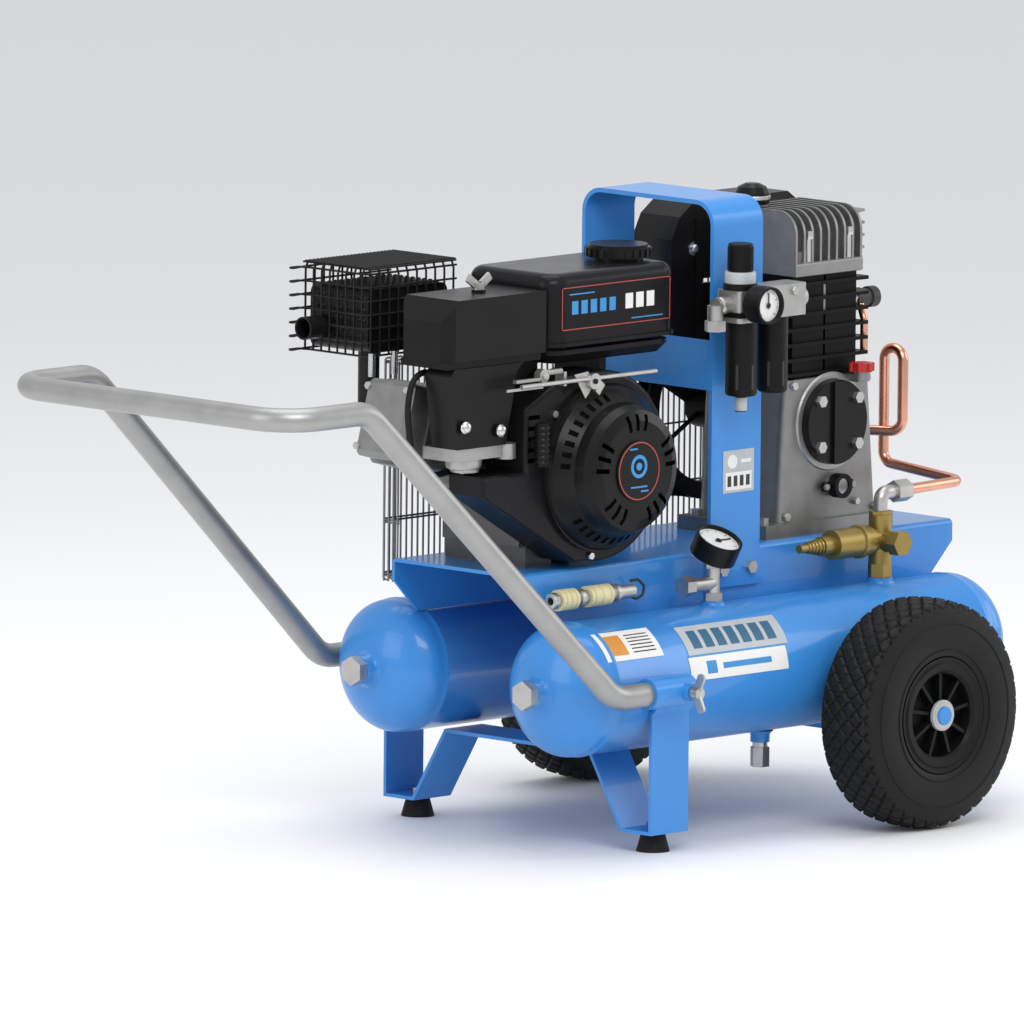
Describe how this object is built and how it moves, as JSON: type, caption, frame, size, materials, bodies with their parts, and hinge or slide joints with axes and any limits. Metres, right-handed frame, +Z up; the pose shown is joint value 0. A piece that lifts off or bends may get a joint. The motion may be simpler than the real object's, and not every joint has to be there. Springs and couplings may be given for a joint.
{
  "type": "wheelbarrow air compressor",
  "caption": "Petrol-engine piston air compressor on a wheelbarrow frame with side-by-side air tanks, belt drive, lifting hoop and push handle.",
  "frame": {"origin": "centre of the bounding box at floor level", "axes": "+X toward the wheels, -X toward the handle, -Y the starter side of the engine, +Z up"},
  "size_m": [1.234, 0.594, 0.707],
  "materials": {
    "blue_paint": "gloss",
    "zinc_steel": "satin",
    "grey_tube": "satin",
    "rubber": "matte",
    "tyre": "matte",
    "black_plastic": "satin",
    "black_gloss": "gloss",
    "cast_aluminium": "satin",
    "cast_iron": "satin",
    "black_steel": "satin",
    "grey_wire": "satin",
    "red_plastic": "gloss",
    "copper": "satin",
    "brass": "satin",
    "cream_plastic": "satin"
  },
  "bodies": {
    "frame": {"tank_near": "blue_paint", "tank_far": "blue_paint", "tank_plugs": "zinc_steel", "platform": "blue_paint", "foot_bracket": "blue_paint", "foot_pads": "rubber", "axle_bracket": "blue_paint", "lifting_hoop": "blue_paint", "bolts_and_clips": "zinc_steel", "engine_block": "cast_aluminium", "valve_cover": "cast_aluminium", "engine_piston": "cast_aluminium", "shroud": "black_gloss", "recoil_cover": "black_plastic", "fuel_tank": "black_gloss", "air_filter_cover": "black_plastic", "air_duct": "black_plastic", "carburettor": "cast_aluminium", "muffler": "black_steel", "muffler_guard": "black_steel", "plug_lead": "rubber", "belt": "rubber", "guard_hood": "black_steel", "guard_mesh": "grey_wire", "pump_crankcase": "cast_aluminium", "bearing_cover": "black_plastic", "sight_glass": "black_plastic", "pump_cylinder": "cast_iron", "pump_pistons": "cast_aluminium", "pump_head": "cast_aluminium", "intake_filter": "black_plastic", "steel_fittings": "zinc_steel", "copper_pipe": "copper", "pilot_valve": "brass", "tank_gauge": "black_plastic", "coupler_manifold": "zinc_steel", "frl_body": "cast_aluminium", "frl_bowls": "black_plastic", "frl_gauge": "black_plastic"},
    "wheel_near": {"rim_near": "black_plastic", "tyre_near": "tyre"},
    "wheel_far": {"rim_far": "black_plastic", "tyre_far": "tyre"},
    "handle": {"handle": "grey_tube"},
    "wing_screw_near": {"wing_screw_near": "zinc_steel"},
    "wing_screw_far": {"wing_screw_far": "zinc_steel"},
    "engine_rotor": {"crankshaft": "cast_iron", "fan_wheel": "cast_iron"},
    "pump_rotor": {"pump_flywheel": "cast_iron"},
    "starter_grip": {"recoil_grip": "black_plastic"},
    "fuel_cap": {"fuel_cap": "black_gloss"},
    "filter_nut": {"filter_wing_nut": "zinc_steel"},
    "throttle": {"throttle_lever": "zinc_steel"},
    "drain_cock": {"drain_cock": "zinc_steel"},
    "oil_filler": {"oil_filler": "red_plastic"},
    "tank_needle": {"tank_gauge_needle": "red_plastic"},
    "regulator_needle": {"frl_needle": "red_plastic"},
    "regulator_knob": {"frl_knob": "black_plastic"},
    "sleeve_a": {"coupler_sleeve_a": "cream_plastic"},
    "sleeve_b": {"coupler_sleeve_b": "cream_plastic"}
  },
  "joints": [
    {"name": "wheel_near_turn", "type": "hinge", "parent": "frame", "child": "wheel_near", "pos_m": [0.369, -0.256, 0.13], "axis": [0, 1, 0], "continuous": true},
    {"name": "wheel_far_turn", "type": "hinge", "parent": "frame", "child": "wheel_far", "pos_m": [0.369, 0.256, 0.13], "axis": [0, 1, 0], "continuous": true},
    {"name": "handle_pull_out", "type": "slide", "parent": "frame", "child": "handle", "axis": [-1, 0, 0], "range_m": [0, 0.055]},
    {"name": "wing_screw_near_turn", "type": "hinge", "parent": "frame", "child": "wing_screw_near", "pos_m": [0.005, -0.25, 0.186], "axis": [0, 1, 0], "range_deg": [0, 360]},
    {"name": "wing_screw_far_turn", "type": "hinge", "parent": "frame", "child": "wing_screw_far", "pos_m": [0.005, 0.25, 0.186], "axis": [0, 1, 0], "range_deg": [0, 360]},
    {"name": "engine_crank_turn", "type": "hinge", "parent": "frame", "child": "engine_rotor", "pos_m": [0, 0, 0.427], "axis": [0, 1, 0], "continuous": true},
    {"name": "pump_crank_turn", "type": "hinge", "parent": "frame", "child": "pump_rotor", "pos_m": [0.405, 0.05, 0.439], "axis": [0, 1, 0], "continuous": true},
    {"name": "starter_pull", "type": "slide", "parent": "frame", "child": "starter_grip", "axis": [0, -1, 0], "range_m": [0, 0.04], "stiffness_N_per_m": 100},
    {"name": "fuel_cap_turn", "type": "hinge", "parent": "frame", "child": "fuel_cap", "pos_m": [0.088, -0.05, 0.655], "axis": [0, 0, 1], "range_deg": [0, 90]},
    {"name": "filter_nut_turn", "type": "hinge", "parent": "frame", "child": "filter_nut", "pos_m": [-0.15, -0.064, 0.637], "axis": [0, 0, 1], "range_deg": [0, 360]},
    {"name": "throttle_turn", "type": "hinge", "parent": "frame", "child": "throttle", "pos_m": [-0.034, -0.131, 0.527], "axis": [0, 1, 0], "range_deg": [-8, 8]},
    {"name": "drain_turn", "type": "hinge", "parent": "frame", "child": "drain_cock", "pos_m": [0.24, -0.133, 0.08], "axis": [0, 0, 1], "range_deg": [0, 360]},
    {"name": "oil_filler_turn", "type": "hinge", "parent": "frame", "child": "oil_filler", "pos_m": [0.44, -0.095, 0.497], "axis": [0, 0, 1], "range_deg": [0, 360]},
    {"name": "tank_needle_turn", "type": "hinge", "parent": "frame", "child": "tank_needle", "pos_m": [0.164, -0.13793, 0.33127], "axis": [0, -0.4695, 0.8829], "range_deg": [-120, 120]},
    {"name": "regulator_needle_turn", "type": "hinge", "parent": "frame", "child": "regulator_needle", "pos_m": [0.19, -0.186, 0.598], "axis": [0, -1, 0], "range_deg": [-120, 120]},
    {"name": "regulator_knob_turn", "type": "hinge", "parent": "frame", "child": "regulator_knob", "pos_m": [0.192, -0.14, 0.64], "axis": [0, 0, 1], "range_deg": [0, 360]},
    {"name": "sleeve_a_slide", "type": "slide", "parent": "frame", "child": "sleeve_a", "axis": [1, 0, 0], "range_m": [0, 0.005], "stiffness_N_per_m": 150},
    {"name": "sleeve_b_slide", "type": "slide", "parent": "frame", "child": "sleeve_b", "axis": [1, 0, 0], "range_m": [0, 0.006], "stiffness_N_per_m": 150}
  ],
  "couplings": [
    {"joint": "pump_crank_turn", "follows": "engine_crank_turn", "ratio": 0.402}
  ]
}
